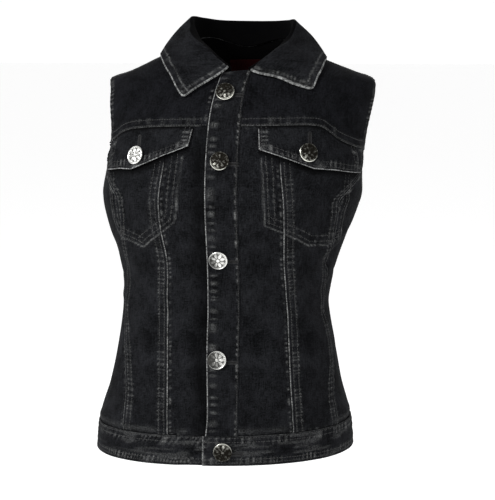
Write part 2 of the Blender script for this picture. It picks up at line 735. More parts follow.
def denim_finish(name, dark, light, wear_gain=1.0):
    """Washed denim, paler where the wear attribute is above 0 and darker where it is below."""
    finish = Finish(name, Roughness=0.95, Metallic=0.0, Specular_IOR_Level=0.05)
    place = finish.node("ShaderNodeUVMap", {"uv_map": "cloth"})
    wear = finish.node("ShaderNodeAttribute", {"attribute_name": "wear"}, output="Fac")
    clouds = finish.noise(place, 0.030, 3)
    marbling = finish.noise(place, 0.0065, 3, 0.6)
    grain = finish.noise(place, 0.0016, 3, 0.65)
    warp = finish.noise(place, 0.0009, 2, 0.6, (1, 14, 1))
    weft = finish.noise(place, 0.0008, 2, 0.6, (10, 1, 1))
    split = finish.node("ShaderNodeSeparateXYZ", {}, {"Vector": place})
    up = Value(finish, split.socket.node.outputs[1])
    ribs = (split * (2 * math.pi / 0.0011) + up * (2 * math.pi / 0.0019)).sine() * 0.5 + 0.5
    tone = clouds * 1.3 + marbling * 0.7 + grain * 2.0 + warp * 1.3 + weft * 1.0 + ribs * 0.3 - 2.9
    cloth = finish.blend(tone.clamped(), dark, light)
    specks = grain.between(0.40, 0.62) * 1.15 + marbling.between(0.38, 0.62) * 0.45 + 0.12
    spotted = (wear * wear_gain * specks).clamped()
    fresh = finish.blend((wear * -1.0).clamped(), cloth, tuple(0.25 * part for part in dark))
    finish.feed("Base Color", finish.blend(spotted, fresh, WORN))
    threads = warp * 0.5 + weft * 0.3 + ribs * 0.5 + grain * 0.4
    finish.feed("Normal", finish.bump(threads, 0.00016, 0.7))
    return finish.material


def plain_cloth_finish(name, dark, light, size=0.0008):
    finish = Finish(name, Roughness=0.95, Metallic=0.0, Specular_IOR_Level=0.03)
    place = finish.node("ShaderNodeUVMap", {"uv_map": "cloth"})
    grain = finish.noise(place, size, 2)
    clouds = finish.noise(place, 0.012, 2)
    warp = finish.noise(place, 0.0004, 1, 0.5, (1, 18, 1))
    tone = (grain * 0.9 + clouds * 0.7 + warp * 0.4 - 0.55).clamped()
    finish.feed("Base Color", finish.blend(tone, dark, light))
    finish.feed("Normal", finish.bump(grain + warp, 0.0001, 0.6))
    return finish.material


def thread_finish(name, dark, light):
    finish = Finish(name, Roughness=0.7, Metallic=0.0, Specular_IOR_Level=0.25)
    place = finish.node("ShaderNodeTexCoord", {}, {}, output="Object")
    tone = finish.noise(place, 0.006, 2)
    fibres = finish.noise(place, 0.0004, 2)
    finish.feed("Base Color", finish.blend((tone * 1.3 + fibres * 0.5 - 0.45).clamped(), dark, light))
    finish.feed("Normal", finish.bump(fibres, 0.0001, 0.5))
    return finish.material


def metal_finish(name, high, low, roughness, stains):
    """Metal that is bright where it is rubbed, as the relief attribute says, and dull in between."""
    finish = Finish(name, Metallic=1.0)
    place = finish.node("ShaderNodeTexCoord", {}, {}, output="Object")
    relief = finish.node("ShaderNodeAttribute", {"attribute_name": "relief"}, output="Fac")
    stain = finish.noise(place, 0.0026, 3)
    scratch = finish.noise(place, 0.0003, 2)
    polished = (relief + (stain - 0.5) * stains).clamped().between(0.05, 0.95)
    finish.feed("Base Color", finish.blend(polished, low, high))
    finish.feed("Roughness", (0.62 - polished * (0.62 - roughness) + scratch * 0.12 - 0.05).clamped())
    finish.feed("Normal", finish.bump(scratch, 0.00004, 0.4))
    return finish.material


DENIM = denim_finish("black_denim", (0.0006, 0.0007, 0.0009), (0.0140, 0.0147, 0.0168))
YOKE_DENIM = denim_finish("yoke_denim", (0.0006, 0.0007, 0.0009), (0.0088, 0.0092, 0.0112), 0.8)
INNER_DENIM = plain_cloth_finish("denim_inside", (0.0003, 0.0003, 0.0004), (0.0014, 0.0014, 0.0016))
LINING = plain_cloth_finish("pocketing", (0.003, 0.003, 0.0035), (0.009, 0.009, 0.0095))
LABEL_CLOTH = plain_cloth_finish("label_cloth", (0.006, 0.0006, 0.0008), (0.016, 0.0016, 0.002))
THREAD = thread_finish("thread", (0.010, 0.010, 0.011), (0.085, 0.085, 0.083))
HOLE_THREAD = thread_finish("hole_thread", (0.004, 0.004, 0.005), (0.038, 0.038, 0.039))
SLIT = thread_finish("slit", (0.001, 0.001, 0.001), (0.003, 0.003, 0.003))
SILVER = metal_finish("silver_metal", (0.80, 0.80, 0.77), (0.045, 0.045, 0.042), 0.26, 0.5)
ANTIQUE = metal_finish("antique_metal", (0.70, 0.70, 0.63), (0.010, 0.009, 0.007), 0.24, 0.9)


# Pieces


def link(name, mesh, *finishes):
    made = bpy.data.objects.new(name, mesh)
    for finish in finishes:
        mesh.materials.append(finish)
    bpy.context.scene.collection.objects.link(made)
    return made


def mesh_of(name, shape):
    """The mesh of a bmesh, which is then freed."""
    mesh = bpy.data.meshes.new(name)
    shape.to_mesh(mesh)
    shape.free()
    return mesh


def grid_mesh(name, points, out, cloth, wear, ring=False):
    """A sheet with one point for each place of a net, facing out."""
    across, along = points.shape[:2]
    bm = bmesh.new()
    bmesh.ops.create_grid(bm, x_segments=across - 1, y_segments=along - 1, size=0.5)
    mesh = mesh_of(name, bm)
    flat = np.empty(len(mesh.vertices) * 3)
    mesh.vertices.foreach_get("co", flat)
    flat = flat.reshape(-1, 3)
    i = np.rint((flat[:, 0] + 0.5) * (across - 1)).astype(int)
    j = np.rint((flat[:, 1] + 0.5) * (along - 1)).astype(int)
    mesh.vertices.foreach_set("co", (points[i, j] * MM).ravel())
    corner = np.empty(len(mesh.loops), int)
    mesh.loops.foreach_get("vertex_index", corner)
    layer = mesh.uv_layers.new(name="cloth")
    layer.data.foreach_set("uv", (cloth[i, j][corner] * MM).ravel())
    mesh.attributes.new("wear", "FLOAT", "POINT").data.foreach_set("value", np.clip(wear[i, j], -1, 1).ravel())
    mesh.update()
    face = mesh.polygons[len(mesh.polygons) // 2]
    middle = out[i[face.vertices[0]], j[face.vertices[0]]]
    if face.normal.dot(Vector(middle)) < 0:
        mesh.flip_normals()
    if ring:
        bm = bmesh.new()
        bm.from_mesh(mesh)
        bmesh.ops.remove_doubles(bm, verts=bm.verts[:], dist=1e-6)
        bm.to_mesh(mesh)
        bm.free()
    mesh.polygons.foreach_set("use_smooth", [True] * len(mesh.polygons))
    return mesh


def thicken(piece, thickness, offset=-1.0, edge=0.35):
    shell = piece.modifiers.new("thickness", "SOLIDIFY")
    shell.thickness = thickness * MM
    shell.offset = offset
    shell.material_offset = len(piece.data.materials) - 1
    rounding = piece.modifiers.new("edge", "BEVEL")
    rounding.limit_method = "ANGLE"
    rounding.angle_limit = math.radians(50)
    rounding.width = edge * MM
    rounding.segments = 2


bead = bmesh.new()
bmesh.ops.create_uvsphere(bead, u_segments=4, v_segments=3, radius=1)
bmesh.ops.rotate(bead, verts=bead.verts[:], cent=(0, 0, 0), matrix=Matrix.Rotation(math.pi / 2, 3, "Y"))
STITCH = mesh_of("stitch", bead)


def stitching(name, rows, length=2.5, pitch=3.1, width=0.62, height=0.5, finish=THREAD):
    """One piece with every stitch of some rows, each a line of points and normals in millimetres."""
    centres, frames = [], []
    for line, out in rows:
        place = lengths(line)
        count = int(place[-1] / pitch)
        if count < 1:
            continue
        at = (np.arange(count) + 0.5) * place[-1] / count
        way = unit(points_at(at + 0.8, place, line) - points_at(at - 0.8, place, line))
        side = unit(np.cross(unit(points_at(at, place, out)), way))
        normal = np.cross(way, side)
        centres.append(points_at(at, place, line) + normal * 0.02)
        frames.append(np.stack([way * length / 2, side * width / 2, normal * height / 2], 1))
    centres, frames = np.vstack(centres), np.vstack(frames)
    bm = bmesh.new()
    for _ in range(len(centres)):
        bm.from_mesh(STITCH)
    mesh = mesh_of(name, bm)
    shape = np.array([v.co for v in STITCH.vertices])
    places = np.einsum("vk,nkc->nvc", shape, frames) + centres[:, None]
    mesh.vertices.foreach_set("co", (places * MM).ravel())
    mesh.polygons.foreach_set("use_smooth", [True] * len(mesh.polygons))
    mesh.update()
    return link(name, mesh, finish)


LAID = {}  # what each piece measures, for the rows of stitches and the sheets


def row_at(name, side, distance, keep=None):
    """A line at a distance from an edge of a laid piece, with its normals."""
    laid = LAID[name]
    points, out, far = laid["outer"], laid["out"], laid["far"][side]
    if side in ("start", "end"):
        points, out, far = points.swapaxes(0, 1), out.swapaxes(0, 1), far.swapaxes(0, 1)
    if side in ("right", "end"):
        points, out, far = points[::-1], out[::-1], far[::-1]
    count = points.shape[1]
    line, normal = (np.array([points_at(distance, far[:, j], values[:, j]) for j in range(count)])
                    for values in (points, out))
    if keep is not None:
        kept = keep(line)
        line, normal = line[kept], normal[kept]
    return line, normal


def surface_normals(points, out):
    """Normals of a net as it lies, facing the same way as out."""
    normal = unit(np.cross(np.gradient(points, axis=0), np.gradient(points, axis=1)))
    return normal * np.sign((normal * out).sum(-1, keepdims=True))


def ride(piece, slot=None, nodes=()):
    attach(piece, "root")
    if nodes:
        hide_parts(*nodes)


DEGREES = np.linspace(0, 360, 361)
OPEN_EDGES = np.vstack([armhole("right", DEGREES), armhole("left", DEGREES), neck(DEGREES)])


def turned_under(points, out, wear, cloth, side, kind):
    """Adds the part of a sheet that a seam hides under its neighbour, less of it beside an open edge."""
    reach, drop = ALLOWANCE[kind]
    turn = side in ("start", "end")
    back = side in ("right", "end")
    nets = [net.swapaxes(0, 1) if turn else net for net in (points, out, wear, cloth)]
    points, out, wear, cloth = (net[::-1] if back else net for net in nets)
    way = unit(points[0] - points[2])
    open_gap = np.linalg.norm(points[0][:, None] - OPEN_EDGES[None], axis=-1).min(1)
    share = mix(0.08, 1.0, smooth(1.0, 6.0, open_gap))[:, None]
    steps = [(reach, drop), (0.8, drop * 0.8)]
    points = np.concatenate([*(points[:1] + (way * a - out[0] * b) * share for a, b in steps), points])
    out = np.concatenate([out[:1], out[:1], out])
    wear = np.concatenate([wear[:1] * 0, wear[:1] * 0, wear])
    along = unit(cloth[0] - cloth[2])
    cloth = np.concatenate([*(cloth[:1] + along * (a + b / 2) for a, b in steps), cloth])
    nets = [net[::-1] if back else net for net in (points, out, wear, cloth)]
    return [net.swapaxes(0, 1) if turn else net for net in nets]


def lay(name, p, out, work, lie, thickness, rests_on, finish=DENIM, slot="denim", extra=None, shade=None,
        ring=False, keep=None, offset=-1.0, folds=True, runs=(), lift=0.0, edge=0.35):
    """A cloth piece on a net: its folds, edge work, stitches and thickness.

    work names the kind of each edge, lie is how far the net is moved out, extra adds relief and wear
    of its own, shade says where the cloth has been kept from wear, keep leaves out stitches, and
    runs are the sides whose work follows the cloth itself.
    """
    across, along = lengths(p, 0), lengths(p, 1)
    far = {"left": across, "right": across[-1:] - across, "start": along, "end": along[:, -1:] - along}
    run = {"left": -p[..., 2], "right": -p[..., 2], "start": p[..., 0], "end": p[..., 0]}
    run.update({side: along if side in ("left", "right") else across for side in runs})
    relief = lift + (fold_at(p) if folds else np.zeros(p.shape[:2]))
    wear = np.zeros(p.shape[:2])
    for k, (side, kind) in enumerate(work.items()):
        more, spots = worked(kind, far[side], run[side], 3 + 5 * k)
        fade = 1.0
        if kind == "over":
            fade = smooth(2, 12, far["start"])
        if kind == "yoke":
            fade = mix(0.15, 1.0, smooth(0, 9, far["right"]))
        relief = relief + more * fade
        wear = np.maximum(wear, spots)
    if extra:
        more, spots = extra(p)
        relief = relief + more
        wear = np.maximum(wear, spots)
    if shade:
        kept = shade(p)
        wear = wear * (1 - kept) - kept
    outer = p + out * (lie + relief)[..., None]
    middle = p.shape[0] // 2
    cloth = np.stack([across - across[middle], np.broadcast_to(along[middle], across.shape)], -1)
    sheet, facing = outer, out
    for side, kind in work.items():
        if kind in ALLOWANCE:
            sheet, facing, wear, cloth = turned_under(sheet, facing, wear, cloth, side, kind)
    mesh = grid_mesh(f"{name}_cloth", sheet, facing, cloth, wear, ring)
    two_sided = finish in (DENIM, YOKE_DENIM) and offset < 0
    piece = link(f"{name}_cloth", mesh, finish, *([INNER_DENIM] if two_sided else []))
    thicken(piece, thickness, offset, edge)
    normal = surface_normals(outer, out)
    corner, beside, above = sheet[:-1, :-1], sheet[1:, :-1], sheet[:-1, 1:]
    area = np.linalg.norm(np.cross(beside - corner, above - corner), axis=-1).sum()
    LAID[name] = {"outer": outer, "out": normal, "far": far, "area": area * MM * MM,
                  "flat": (lengths(sheet, 0)[-1].max() * MM, lengths(sheet, 1)[:, -1].max() * MM)}
    ride(piece, slot, (name,))
    rows = [row_at(name, side, distance, keep) for side, kind in work.items() for distance in WORK[kind]["rows"]]
    threads = []
    if rows:
        threads.append(stitching(f"{name}_stitching", rows))
        ride(threads[0])
    LAID[name].update(piece=piece, threads=threads, rests_on=rests_on)


EDGES = ("left", "right", "start", "end")


def draw_in(p, gap):
    """Moves the rim of a net inwards, to leave its seams open by a little."""
    for rim, inner in ((p[0], p[1]), (p[-1], p[-2]), (p[:, 0], p[:, 1]), (p[:, -1], p[:, -2])):
        rim += unit(inner - rim) * gap


# How far apart the points of a panel's net lie: across it beside its edges and between them, and
# along it between its ends
FRONT_NET = (1.1, 2.8, 1.75)
CENTRE_NET = (1.1, 2.2, 1.75)
BACK_NET = (1.3, 4.0, 2.7)


def panel(name, edges, work, spacing=FRONT_NET, **more):
    """A single layer of denim between four seam lines."""
    left, right, start, end = edges
    width = max(lengths(start)[-1], lengths(end)[-1])
    height = max(lengths(left)[-1], lengths(right)[-1])
    fine, coarse, coarse_along = spacing
    across = stations(width, fine=fine, coarse=coarse)
    p = net(*edges, across, stations(height, fine=1.5, coarse=coarse_along, reach=8))
    draw_in(p, GAP / 2)
    lay(name, p, normal_at(p), dict(zip(EDGES, work)), CLOTH / 2, CLOTH, **more)


SIDES = ("right", "left")
OPENING = {"right": "standSeam", "left": "stitched"}
OPENING_EDGE = {"right": "on_stand", "left": "opening"}


def body_panels():
    """The panels between the yokes and the waistband."""
    for side in SIDES:
        hole = ARMHOLE[side]
        yoke_end = armhole(side, hole["yoke"])
        inner, outer, flank, back = inner_seam(side), outer_seam(side), side_seam(side), back_seam(side)
        front = lower_front_edge(OPENING[side])

        front_look = dict(extra=partial(pocket_work, side=side), shade=sheltered)

        def clear_of_flap(line, side=side):
            edge = FLAP_EDGE[side]
            covered = (line[:, 0] > edge[0, 0]) & (line[:, 0] < edge[0, -1]) & (line[:, 1] < 0)
            return ~(covered & (line[:, 2] > np.interp(line[:, 0], *edge) - 1.5))

        yoke = [f"front_yoke_{side}"]
        panel(f"front_centre_{side}", (front, inner, yoke_line(front[0], inner[0]), band_seam(front[-1], inner[-1])),
              (OPENING_EDGE[side], "under", "under", "band"), CENTRE_NET, rests_on=yoke, **front_look)
        panel(f"front_middle_{side}",
              (inner, joined(armhole_edge(side, hole["yoke"], hole["panel"]), outer), yoke_line(inner[0], yoke_end),
               band_seam(inner[-1], outer[-1])),
              ("over", "over", "under", "band"), rests_on=yoke, keep=clear_of_flap, **front_look)
        panel(f"front_side_{side}",
              (outer, flank, armhole_edge(side, hole["panel"], 180), band_seam(outer[-1], flank[-1])),
              ("under", "under", "hem", "band"), rests_on=[f"front_middle_{side}"], **front_look)
        corner = armhole(side, BACK_YOKE_TURN)
        panel(f"back_side_{side}",
              (joined(armhole_edge(side, BACK_YOKE_TURN, 180), flank), back, back_yoke_line(corner, back[0]),
               band_seam(flank[-1], back[-1])),
              ("under", "under", "under", "band"), BACK_NET, rests_on=["back_yoke"])
    right, left = back_seam("right"), back_seam("left")
    panel("back_centre", (right, left, back_yoke_line(right[0], left[0]), band_seam(right[-1], left[-1])),
          ("over", "over", "under", "band"), BACK_NET, rests_on=["back_yoke"])


def yokes():
    for side in SIDES:
        hole = ARMHOLE[side]
        turn = neck_corner(OPENING[side], side)
        corner = neck(turn)
        opening = front_edge(OPENING[side], YOKE_FRONT, corner[2])
        opening[-1] = corner
        collar_line = neck(mix(turn, hole["side"] * NECK["shoulder"], STEPS))
        inner = inner_seam(side)[0]
        yoke_end = armhole(side, hole["yoke"])
        panel(f"front_yoke_{side}",
              (joined(opening, collar_line), armhole_edge(side, hole["yoke"], SHOULDER_SEAM_TURN),
               joined(yoke_line(opening[0], inner), yoke_line(inner, yoke_end)), shoulder_seam(side)),
              (OPENING_EDGE[side], "hem", "yoke", "under"), rests_on=["back_yoke"], runs=("right",),
              finish=YOKE_DENIM, shade=sheltered)
    right, left = back_seam("right")[0], back_seam("left")[0]
    ends = [armhole(side, BACK_YOKE_TURN) for side in SIDES]
    lower = joined(back_yoke_line(ends[0], right), back_yoke_line(right, left), back_yoke_line(left, ends[1]))
    neck_line = neck(mix(-NECK["shoulder"], NECK["shoulder"] - 360, STEPS))
    upper = joined(shoulder_seam("right")[::-1], neck_line, shoulder_seam("left"))
    rise = [armhole_edge(side, BACK_YOKE_TURN, 360 + SHOULDER_SEAM_TURN) for side in SIDES]
    panel("back_yoke", (*rise, lower, upper), ("hem", "hem", "back_yoke", "shoulder"), BACK_NET,
          rests_on=["front_yoke_left"], runs=("left", "right"))


def front_bands():
    """The folded strip that buttons over, and the stand under it."""
    strips = {"placket": ("fold", "stitched", 2.6, 1.5, BAND - 0.8, ("fold", "stitched", "plain", "plain"),
                          {"fine": 1.2, "coarse": 1.6}, {"fine": 1.0, "coarse": 1.5}),
              "button_stand": ("standSeam", "standEnd", 3.4, -1.5, BAND, ("plain",) * 4,
                               {"fine": 3.0, "coarse": 4.0}, {"fine": 1.6, "coarse": 2.8})}
    for name, (first, second, drop, lie, thickness, work, along, across) in strips.items():
        sides = []
        for column, side in ((first, "right"), (second, "left")):
            top = neck(neck_corner(column, side))[2] - drop
            sides.append(joined(front_edge(column, top, YOKE_FRONT), lower_front_edge(column)))
        top = settle(mix(sides[0][0], sides[1][0], STEPS[:, None]))
        p = net(*sides, top, band_seam(sides[0][-1], sides[1][-1]), stations(40, **across),
                stations(lengths(sides[0])[-1], **along))
        draw_in(p, GAP)
        lay(name, p, normal_at(p), dict(zip(EDGES, work)), lie + BAND / 2, thickness, ["front_centre_left"], edge=0.6)


def waistband():
    """One doubled band round the body, whose ends lap in front."""
    lap = 20
    sinks = 348  # degrees from the start, from where the second end goes under the first
    start, end = (angle_of(on_face(x, BAND_TOP, -1)) for x in (-lap, lap))
    end = end + 360
    angle = start + (end - start) * np.linspace(0, 1, 500)
    across = stations(BAND_TOP - BAND_BOTTOM, fine=1.25, coarse=1.8, reach=12)
    x = on_angle(angle, BAND_TOP)[:, 0]
    z = mix(BAND_BOTTOM, BAND_TOP - GAP / 2, across)[None] + HEM_TILT * x[:, None]
    p = on_angle(np.broadcast_to(angle[:, None], z.shape), z)
    under = -(BAND + 0.4) * smooth(0, 8, angle - (start + sinks))

    def drawn(q):
        streak = cloud(lengths(q, 0) / 19, (q[..., 2] - HEM_TILT * q[..., 0]) / 3.1)
        return 0.9 * (streak - 0.5), 0.075 * smooth(0.52, 0.85, streak)

    work = {"left": "band_end", "right": "plain", "start": "band_hem", "end": "band_top"}
    lay("waistband", p, normal_at(p), work, BAND / 2, BAND, ["front_middle_left", "back_centre"],
        runs=("start", "end"), edge=0.7, lift=under[:, None], extra=drawn)


def armhole_hems():
    """The turned edges, inside the armholes."""
    for side in SIDES:
        hole = ARMHOLE[side]
        edge = armhole(side, np.linspace(0, 360, 161))
        out = normal_at(edge)
        way = unit(np.cross(out, np.gradient(edge, axis=0)))
        centre = np.array([edge[0, 0], hole["y"], hole["z"]])
        way *= np.sign((way * (edge - centre)).sum(-1, keepdims=True))
        steps = np.linspace(0.03, 1.1, 7) * HEM_TURNING
        p = settle(edge[:, None] + way[:, None] * steps[None, :, None])
        p[-1] = p[0]
        lay(f"armhole_hem_{side}", p, normal_at(p), {"end": "inside"}, -1.05, INSIDE, [f"front_yoke_{side}"],
            ring=True)


def pockets():
    """The doubled flaps, caught in the yoke seam, and the bags behind the middle panels."""
    for side in SIDES:
        flap = FLAP[side]
        x = mix(*flap["top"], STEPS)
        top = on_face(x, yoke_height(x) - 0.6, -1)
        lower = traced(flap["lower"])
        edges = [settle(mix(top[k], lower[k], STEPS[:, None])) for k in (0, -1)]
        across = stations(lengths(lower)[-1], fine=0.9, coarse=1.6, reach=12)
        along = stations(40, near=(False, True), fine=0.9, coarse=1.3, reach=14)
        p = net(*edges, top, lower, across, along)
        droop = 0.9 * smooth(0.6, 1.0, along)[None] + 0.5 * bell(across, 0.5, 0.3)[:, None] * along
        corner, turned = lower[0], lower[len(lower) * 62 // 100]

        def rubbed(q, corner=corner, turned=turned):
            near, far = (np.linalg.norm(q - place, axis=-1) for place in (corner, turned))
            return 0.0, 0.75 * bell(near, 0, 3.4) + 0.4 * bell(far, 0, 5.5) * cloud(q[..., 0] / 4, q[..., 2] / 3)

        def tucked(q):
            return 0.8 * (1 - smooth(1, 4.5, lengths(q, 1)))

        work = dict(zip(EDGES, ("flap", "flap", "flap_top", "flap")))
        lay(f"pocket_flap_{side}", p, normal_at(p), work, 1.65 + DOUBLED, DOUBLED, [f"front_yoke_{side}"],
            extra=rubbed, shade=tucked, runs=("left", "right", "end"), lift=droop, edge=0.5)
        bag = BAG[side]
        inner, outer, low = (traced(bag[part]) for part in ("inner", "outer", "lower"))
        top = traced([bag["inner"][0], bag["outer"][0]])
        p = net(inner, outer, top, low, np.linspace(0, 1, 27), np.linspace(0, 1, 37))
        lay(f"pocket_bag_{side}", p, normal_at(p), dict.fromkeys(("left", "right", "end"), "inside"), -1.9, INSIDE,
            [f"front_middle_{side}"], finish=LINING, slot="pocketing")


def neck_label():
    x = np.linspace(LABEL["right"], LABEL["left"], 47)[:, None]
    z = np.linspace(LABEL["bottom"], LABEL["top"], 21)[None]
    p = on_face(*np.broadcast_arrays(x, z), 1)
    lay("neck_label", p, normal_at(p), {}, -1.9, INSIDE, ["back_yoke"], finish=LABEL_CLOTH, slot="label")


def smooth_through(rows, at):
    """A smooth line through the points of each row, for all rows at once."""
    k = np.clip(np.floor(at).astype(int), 0, rows.shape[1] - 2)
    low, high = rows[:, k], rows[:, k + 1]
    before, after = rows[:, np.maximum(k - 1, 0)], rows[:, np.minimum(k + 2, rows.shape[1] - 1)]
    a, b, c, d = curve_weights((at - k)[None, :, None])
    return a * low + b * ((high - before) / 2) + c * high + d * ((after - low) / 2)


# How far the leaf's two front edges stand out along their way down, and the rounding of its corners
LEAF_EDGES = {0: [0, 0, 2.2, 3.4, 3.6, 3.2, 2.4, 1.6, 0.8, 0.3, 0],
              -1: [0, 0, 2.8, 3.6, 2.0, 0.8, 1.5, 2.7, 2.2, 1.0, 0]}
LEAF_ROUND = 6.5


def ease_leaf(p, down):
    """Gives the collar's leaf its uneven front edges and its round corners."""
    for end, stands in LEAF_EDGES.items():
        q = p if end == 0 else p[::-1]
        across = lengths(q, 0)
        along = lengths(q, 1)
        from_edge = along[:, -1:] - along
        sideways = unit(q[0] - q[4])[None]
        outwards = unit(q[:, -1] - q[:, -5])[:, None]
        stand = np.interp(down, np.linspace(3, 8, len(stands)), stands)[None] * (1 - smooth(0, 26, across))
        a, b = (np.clip(1 - d / LEAF_ROUND, 0, 1) for d in (across, from_edge))
        q += sideways * (stand + (a * np.sqrt(1 - b * b / 2) - a) * LEAF_ROUND)[..., None]
        q += outwards * ((b * np.sqrt(1 - a * a / 2) - b) * LEAF_ROUND)[..., None]


def collar():
    """A stand that rises from the neck seam, rolls over and falls as a leaf."""
    sections = 205
    turn = np.linspace(COLLAR_SECTIONS["turn"][0], COLLAR_SECTIONS["turn"][-1], sections)
    row = {name: read(COLLAR_SECTIONS, "turn", turn, name) for name in COLLAR_SECTIONS}
    seam = neck(turn)
    inward = np.stack([NECK["x"] - seam[:, 0], -seam[:, 1], np.zeros(sections)], -1)
    seam = seam + unit(inward) * 2.05 + (0, 0, 0.6)
    roll = np.stack([row["rollX"], row["rollY"], row["rollZ"]], -1)
    ground = on_top(row["edgeX"], row["edgeY"])
    edge = ground + normal_at(ground) * COLLAR_LIE
    fall = unit((edge - roll) * (1, 1, 0))
    in_fold = roll - fall * COLLAR_FOLD * 0.7
    in_fold[:, 2] -= np.minimum(COLLAR_FOLD * 0.7, (roll - seam)[:, 2] * 0.4)
    out_fold = roll + fall * COLLAR_FOLD * 0.9 - (0, 0, COLLAR_FOLD * 0.6)

    def over_body(p):
        under = settle(p)
        normal = normal_at(under)
        height = ((p - under) * normal).sum(-1, keepdims=True)
        return np.where(height < COLLAR_LIE, under + normal * COLLAR_LIE, p)

    leaf = [over_body(mix(out_fold, edge, t) + fall * 14 * t * (1 - t)) for t in (0.25, 0.5, 0.75)]
    profile = np.stack([seam, mix(seam, in_fold, 0.5), in_fold, roll, over_body(out_fold), *leaf, edge], 1)
    down = np.concatenate([np.linspace(0, 2, 11)[:-1], np.linspace(2, 4, 15)[:-1], np.linspace(4, 7, 24)[:-1],
                           np.linspace(7, 7.9, 13)[:-1], np.linspace(7.9, 8, 3)])
    p = smooth_through(profile, down)
    ease_leaf(p, down)
    out = unit(np.cross(np.gradient(p, axis=0), np.gradient(p, axis=1)))
    if out[sections // 2, -4, 2] < 0:
        out = -out
    away = lengths(p, 0)
    swell = 0.9 * (cloud(away / 34, lengths(p, 1) / 28) - 0.5) * smooth(3, 5, down)[None]
    work = {"left": "collar_end", "right": "collar_end", "end": "collar_edge"}
    lay("collar", p, out, work, 0.0, COLLAR, ["back_yoke"], folds=False, runs=("left", "right", "end"), lift=swell,
        offset=0.0, edge=0.7)
    mesh = LAID["collar"]["piece"].data
    mesh.materials.append(INNER_DENIM)
    heights = mesh.uv_layers["cloth"].data
    stand = lengths(p, 1)[sections // 2, 22] * MM
    for face in mesh.polygons:
        face.material_index = int(heights[face.loop_start].uv[1] < stand)


for make in (yokes, body_panels, front_bands, waistband, armhole_hems, pockets, neck_label, collar):
    make()


# Pocket outlines, buttonholes and buttons lie on what is under them


def ground_of(*names, above=12, reach=20):
    """Finds where a line drawn straight onto the body, from above it, meets the laid pieces."""
    trees = [BVHTree.FromObject(LAID[name]["piece"], bpy.context.evaluated_depsgraph_get()) for name in names]

    def find(points):
        points = np.atleast_2d(points)
        out = normal_at(points)
        places, normals = [], []
        for p, n in zip(points, out):
            start, way = Vector((p + n * above) * MM), Vector(-n)
            hits = [tree.ray_cast(start, way, reach * MM) for tree in trees]
            hits = [hit for hit in hits if hit[0] is not None]
            if not hits:
                continue
            best = min(hits, key=lambda hit: hit[3])
            places.append(np.array(best[0]) / MM)
            normals.append(np.array(best[1]) * np.sign(best[1].dot(Vector(n))))
        return np.array(places), np.array(normals)
    return find


def pocket_stitching():
    """The rows that hold the bags, sewn through the front panels and left out under the flaps."""
    for side in SIDES:
        find = ground_of(*(f"front_{part}_{side}" for part in ("centre", "middle", "side")))
        line = traced(POCKET_LINE[side])
        out = normal_at(line)
        across = unit(np.cross(np.gradient(line, axis=0), out)) * (1 if side == "left" else -1)
        across *= np.sign((across * (line.mean(0) - line)).sum())
        rows = []
        for distance in POCKET_ROWS:
            moved = settle(line + across * distance)
            moved = moved[moved[:, 2] < np.interp(moved[:, 0], *FLAP_EDGE[side]) - 2]
            rows.append(find(moved))
        made = stitching(f"pocket_stitching_{side}", rows)
        ride(made)
        LAID[f"pocket_bag_{side}"]["threads"].append(made)


def buttonhole(name, centre, across, under, length=22.0, width=1.5):
    """A worked slit: a long ring of close stitches round a dark gap, laid on the cloth."""
    find = ground_of(under)
    turns = np.linspace(0, 2 * math.pi, 97)[:-1]
    straight = length / 2 - width
    along = np.clip(np.cos(turns) * 40, -1, 1) * straight + np.cos(turns) * width
    aside = np.sin(turns) * width
    closed = np.stack([along, aside], -1)
    closed = np.vstack([closed, closed[:1]])
    place = lengths(closed)
    at = np.arange(0, place[-1], 0.62)
    way = points_at(at, place, closed)
    turned = way if across else way[:, ::-1]
    points = on_face(centre[0] + turned[:, 0], centre[1] + turned[:, 1], -1)
    ground, normals = find(points)
    ring = []
    for p, n, q in zip(ground, normals, way):
        core = np.array([np.clip(q[0], -straight, straight), 0.0])
        out = q - core
        out = out / max(np.linalg.norm(out), 1e-6)
        side = out if across else out[::-1]
        step = on_face(p[0] + side[0] * 0.5, p[2] + side[1] * 0.5, -1) - on_face(p[0], p[2], -1)
        ring.append((np.array([p - unit(step) * 0.9, p + unit(step) * 0.9]), np.array([n, n])))
    made = stitching(name, ring, length=2.2, pitch=1.6, width=0.66, height=0.85, finish=HOLE_THREAD)
    ride(made)
    LAID[under]["threads"].append(made)
    slit = bmesh.new()
    bmesh.ops.create_grid(slit, x_segments=18, y_segments=2, size=1)
    for vert in slit.verts:
        q = (vert.co.x * (straight + 0.3), vert.co.y * 0.55)
        q = q if across else q[::-1]
        p = on_face(centre[0] + q[0], centre[1] + q[1], -1)
        hit, n = find(p)
        vert.co = Vector((hit[0] + n[0] * 0.12) * MM)
    slit.normal_update()
    if sum(face.normal.y for face in slit.faces) > 0:
        bmesh.ops.reverse_faces(slit, faces=slit.faces[:])
    opening = link(f"{name}_slit", mesh_of(f"{name}_slit", slit), SLIT)
    thicken(opening, 0.1, edge=0.02)
    ride(opening)
    LAID[under]["threads"].append(opening)


BUTTON = {"radius": 11, "height": 4.4, "neck": 5, "neck_height": 1.4}
# The rosette, from the middle out: a boss, petals that start and reach so far, a ring of beads, a rim
BOSS = 2.1
PETALS, PETAL_START, PETAL_REACH = 8, 2.4, 6.0
BEADS, BEAD_RING, BEAD_SIZE = 28, 8.9, 0.42
RIM = 10.2


